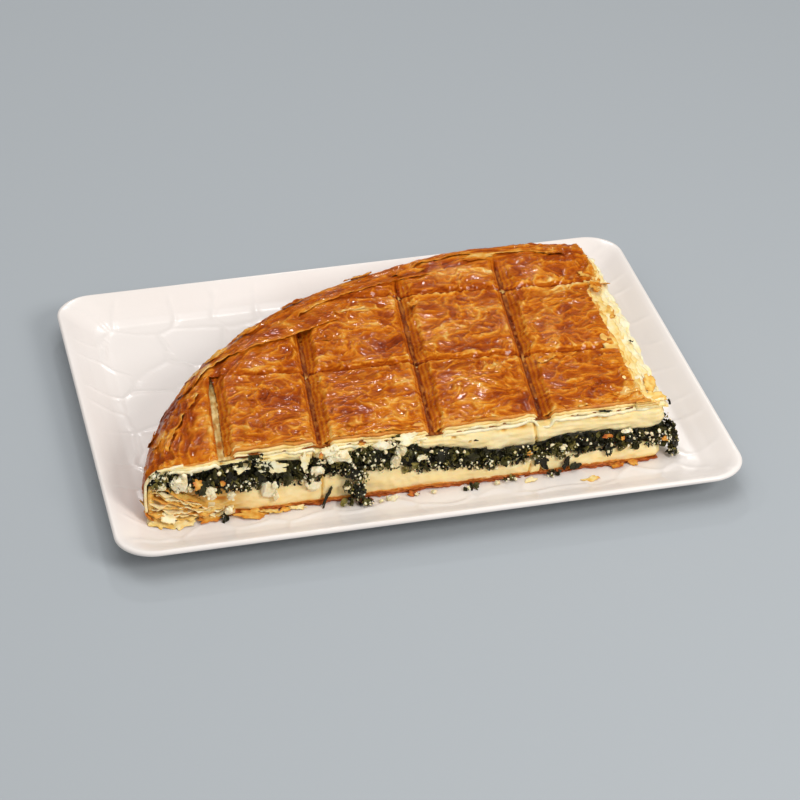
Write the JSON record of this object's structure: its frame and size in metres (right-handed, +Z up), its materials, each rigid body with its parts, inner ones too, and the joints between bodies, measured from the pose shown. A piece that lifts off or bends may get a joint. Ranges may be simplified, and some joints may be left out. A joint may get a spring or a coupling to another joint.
{
  "type": "spanakopita pie on a plate",
  "caption": "Large cut portion of a round spinach and feta filo pie with a crisp scored top crust, with its layers showing where it is cut, on a rectangular plate.",
  "frame": {"origin": "on the table, under the middle of the plate", "axes": "+X along the plate's long side, towards the pie's straight right cut; +Y away from the pie's long front cut; +Z up"},
  "size_m": [0.36, 0.283, 0.05],
  "materials": {
    "porcelain_glaze": "gloss",
    "browned_filo": "satin",
    "soft_pastry": "satin",
    "base_pastry": "satin",
    "spinach_and_feta": "satin"
  },
  "bodies": {
    "root": {"plate": "porcelain_glaze", "lower_pastry": "base_pastry", "spinach_feta_filling": "spinach_and_feta", "upper_pastry": "soft_pastry", "top_crust": "browned_filo"}
  },
  "joints": []
}
